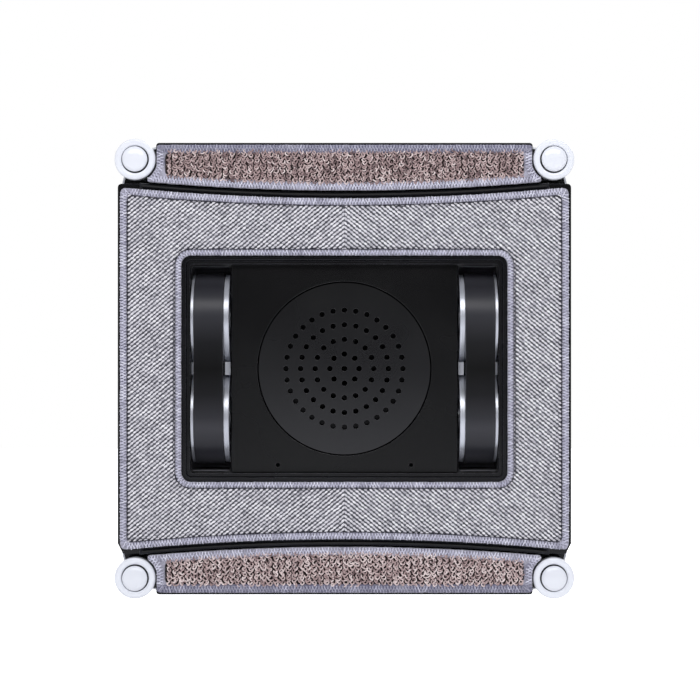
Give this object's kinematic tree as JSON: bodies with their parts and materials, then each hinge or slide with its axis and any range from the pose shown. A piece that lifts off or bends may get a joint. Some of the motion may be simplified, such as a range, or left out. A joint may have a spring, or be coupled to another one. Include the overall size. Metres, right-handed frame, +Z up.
{
  "type": "window cleaning robot",
  "caption": "Square window cleaning robot: suction chamber with vent grille and two belt tracks, framed pad, bowed strip pads with corner rollers, white cover with handle.",
  "frame": {"origin": "middle of the working side, on the plane of the glass that the robot holds on to", "axes": "-Y out of the working side towards the glass, +X right and +Z up as seen from the glass side"},
  "size_m": [0.2456, 0.1007, 0.2456],
  "materials": {
    "back_cover": "glossy white",
    "base_plate": "fine satin moulded texture, near black",
    "battery_pack": "heat shrink sleeve",
    "bump_switches": "moulded",
    "bumper": "satin moulded black",
    "button_bezel": "satin chrome ring",
    "chassis_deck": "satin moulded black",
    "chassis_tub": "satin moulded black",
    "corner_roller": "glossy bluish white",
    "edge_sensor": "glossy bluish white",
    "exhaust_grille": "satin moulded",
    "fan_housing": "moulded",
    "fan_impeller": "moulded",
    "fan_motor": "cast can",
    "gearmotor": "cast",
    "handle": "semi-gloss black",
    "handle_grip": "soft matt rubber",
    "main_board": "solder mask",
    "main_pad": "grey twill microfibre",
    "main_pad_binding": "lavender grey overlock binding",
    "pad_hook_board": "hook fastener board, matt",
    "power_rocker": "glossy black",
    "power_socket": "satin moulded",
    "rocker_housing": "satin moulded",
    "roller_posts": "glossy bluish white",
    "screws": "zinc plated",
    "springs": "spring wire",
    "squeegee_rail": "satin moulded",
    "squeegee_rubber": "smooth soft rubber",
    "start_button": "glossy white",
    "status_light": "clear light window",
    "strip_binding": "lavender grey overlock binding",
    "strip_pad": "brown pink chenille loops",
    "tether_lug": "satin moulded",
    "track_frame": "moulded",
    "track_wheel": "bright plated rim",
    "tread_belt": "smooth semi-gloss rubber",
    "vent_grille": "fine satin moulded texture, charcoal"
  },
  "bodies": {
    "chassis": {"base_plate": "base_plate", "vent_grille": "vent_grille", "chassis_tub": "chassis_tub", "chassis_deck": "chassis_deck", "pad_hook_board": "pad_hook_board", "main_pad": "main_pad", "main_pad_binding": "main_pad_binding", "top_squeegee_blade": "squeegee_rubber", "bottom_squeegee_blade": "squeegee_rubber", "top_squeegee_rail": "squeegee_rail", "bottom_squeegee_rail": "squeegee_rail", "back_cover": "back_cover", "exhaust_grille": "exhaust_grille", "handle": "handle", "handle_grip": "handle_grip", "button_bezel": "button_bezel", "status_light": "status_light", "power_socket": "power_socket", "tether_lug": "tether_lug", "fan_motor": "fan_motor", "fan_housing": "fan_housing", "main_board": "main_board", "battery_pack": "battery_pack", "left_gearmotor": "gearmotor", "right_gearmotor": "gearmotor", "left_track_frame": "track_frame", "right_track_frame": "track_frame", "left_tread_belt": "tread_belt", "right_tread_belt": "tread_belt", "bump_switches": "bump_switches", "housing_screws": "screws", "button_spring": "springs", "rocker_housing": "rocker_housing"},
    "top_bumper": {"top_bumper": "bumper", "top_strip_pad": "strip_pad", "top_strip_binding": "strip_binding", "top_roller_posts": "roller_posts", "top_bumper_springs": "springs", "top_sensor_springs": "springs"},
    "top_left_roller": {"top_left_roller": "corner_roller"},
    "top_left_edge_sensor": {"top_left_edge_sensor": "edge_sensor"},
    "top_right_roller": {"top_right_roller": "corner_roller"},
    "top_right_edge_sensor": {"top_right_edge_sensor": "edge_sensor"},
    "bottom_bumper": {"bottom_bumper": "bumper", "bottom_strip_pad": "strip_pad", "bottom_strip_binding": "strip_binding", "bottom_roller_posts": "roller_posts", "bottom_bumper_springs": "springs", "bottom_sensor_springs": "springs"},
    "bottom_left_roller": {"bottom_left_roller": "corner_roller"},
    "bottom_left_edge_sensor": {"bottom_left_edge_sensor": "edge_sensor"},
    "bottom_right_roller": {"bottom_right_roller": "corner_roller"},
    "bottom_right_edge_sensor": {"bottom_right_edge_sensor": "edge_sensor"},
    "left_drive_wheel": {"left_drive_wheel": "track_wheel"},
    "left_idler_wheel": {"left_idler_wheel": "track_wheel"},
    "right_drive_wheel": {"right_drive_wheel": "track_wheel"},
    "right_idler_wheel": {"right_idler_wheel": "track_wheel"},
    "fan_impeller": {"fan_impeller": "fan_impeller"},
    "start_button": {"start_button": "start_button"},
    "power_rocker": {"power_rocker": "power_rocker"}
  },
  "joints": [
    {"name": "top_bumper_slide", "type": "slide", "parent": "chassis", "child": "top_bumper", "axis": [0, 0, -1], "range_m": [0, 0.0015], "stiffness_N_per_m": 1600, "springref_m": -0.003, "deforming": ["top_bumper_springs"]},
    {"name": "top_left_roller_spin", "type": "hinge", "parent": "top_bumper", "child": "top_left_roller", "pos_m": [-0.1118, 0, 0.1118], "axis": [0, 1, 0], "continuous": true},
    {"name": "top_left_sensor_press", "type": "slide", "parent": "top_bumper", "child": "top_left_edge_sensor", "axis": [0, 1, 0], "range_m": [0, 0.002], "stiffness_N_per_m": 150, "springref_m": -0.002, "deforming": ["top_sensor_springs"]},
    {"name": "top_right_roller_spin", "type": "hinge", "parent": "top_bumper", "child": "top_right_roller", "pos_m": [0.1118, 0, 0.1118], "axis": [0, 1, 0], "continuous": true},
    {"name": "top_right_sensor_press", "type": "slide", "parent": "top_bumper", "child": "top_right_edge_sensor", "axis": [0, 1, 0], "range_m": [0, 0.002], "stiffness_N_per_m": 150, "springref_m": -0.002},
    {"name": "bottom_bumper_slide", "type": "slide", "parent": "chassis", "child": "bottom_bumper", "axis": [0, 0, 1], "range_m": [0, 0.0015], "stiffness_N_per_m": 1600, "springref_m": -0.003, "deforming": ["bottom_bumper_springs"]},
    {"name": "bottom_left_roller_spin", "type": "hinge", "parent": "bottom_bumper", "child": "bottom_left_roller", "pos_m": [-0.1118, 0, -0.1118], "axis": [0, 1, 0], "continuous": true},
    {"name": "bottom_left_sensor_press", "type": "slide", "parent": "bottom_bumper", "child": "bottom_left_edge_sensor", "axis": [0, 1, 0], "range_m": [0, 0.002], "stiffness_N_per_m": 150, "springref_m": -0.002, "deforming": ["bottom_sensor_springs"]},
    {"name": "bottom_right_roller_spin", "type": "hinge", "parent": "bottom_bumper", "child": "bottom_right_roller", "pos_m": [0.1118, 0, -0.1118], "axis": [0, 1, 0], "continuous": true},
    {"name": "bottom_right_sensor_press", "type": "slide", "parent": "bottom_bumper", "child": "bottom_right_edge_sensor", "axis": [0, 1, 0], "range_m": [0, 0.002], "stiffness_N_per_m": 150, "springref_m": -0.002},
    {"name": "left_drive_spin", "type": "hinge", "parent": "chassis", "child": "left_drive_wheel", "pos_m": [-0.07255, 0.0252, -0.02675], "axis": [1, 0, 0], "continuous": true},
    {"name": "left_idler_spin", "type": "hinge", "parent": "chassis", "child": "left_idler_wheel", "pos_m": [-0.07255, 0.0252, 0.02675], "axis": [1, 0, 0], "continuous": true},
    {"name": "right_drive_spin", "type": "hinge", "parent": "chassis", "child": "right_drive_wheel", "pos_m": [0.07255, 0.0252, -0.02675], "axis": [1, 0, 0], "continuous": true},
    {"name": "right_idler_spin", "type": "hinge", "parent": "chassis", "child": "right_idler_wheel", "pos_m": [0.07255, 0.0252, 0.02675], "axis": [1, 0, 0], "continuous": true},
    {"name": "fan_spin", "type": "hinge", "parent": "chassis", "child": "fan_impeller", "pos_m": [0, 0.02, 0], "axis": [0, 1, 0], "continuous": true},
    {"name": "start_press", "type": "slide", "parent": "chassis", "child": "start_button", "axis": [0, -1, 0], "range_m": [0, 0.0008], "stiffness_N_per_m": 400, "springref_m": -0.0015, "deforming": ["button_spring"]},
    {"name": "power_rocker_tilt", "type": "hinge", "parent": "chassis", "child": "power_rocker", "pos_m": [0.058, 0.0683, -0.072], "axis": [1, 0, 0], "range_deg": [-14, 0]}
  ],
  "couplings": [
    {"joint": "left_idler_spin", "follows": "left_drive_spin", "ratio": 1},
    {"joint": "right_idler_spin", "follows": "right_drive_spin", "ratio": 1}
  ]
}
